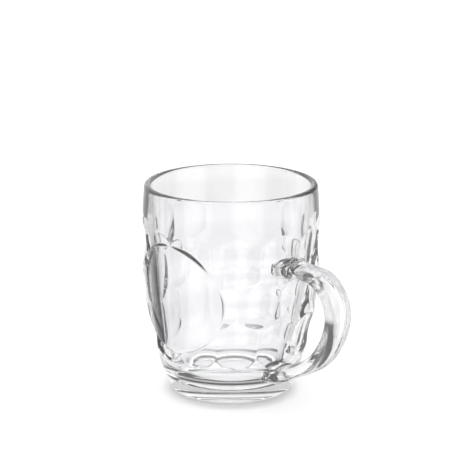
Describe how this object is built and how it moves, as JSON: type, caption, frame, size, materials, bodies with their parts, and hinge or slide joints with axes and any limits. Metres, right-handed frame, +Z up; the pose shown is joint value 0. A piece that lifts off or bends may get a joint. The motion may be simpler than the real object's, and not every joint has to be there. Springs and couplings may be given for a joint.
{
  "type": "dimpled glass beer mug",
  "caption": "Barrel-shaped pressed glass beer mug with staggered thumb dimples, a plain round panel on one side and a solid strap handle fused to the wall.",
  "frame": {"origin": "centre of the flat foot ring that the mug stands on, on the bowl's axis", "axes": "+Z up along the bowl's axis, +X from the axis towards the middle of the handle, +Y to the left of the handle seen from above with the handle pointing away"},
  "size_m": [0.117, 0.0825, 0.098],
  "materials": {
    "bowl_glass": "clear pressed soda-lime glass, fire polished",
    "handle_glass": "clear pressed soda-lime glass, fire polished, faint draw lines along the strap"
  },
  "bodies": {
    "root": {"mug_body": "bowl_glass", "handle": "handle_glass"}
  },
  "joints": []
}
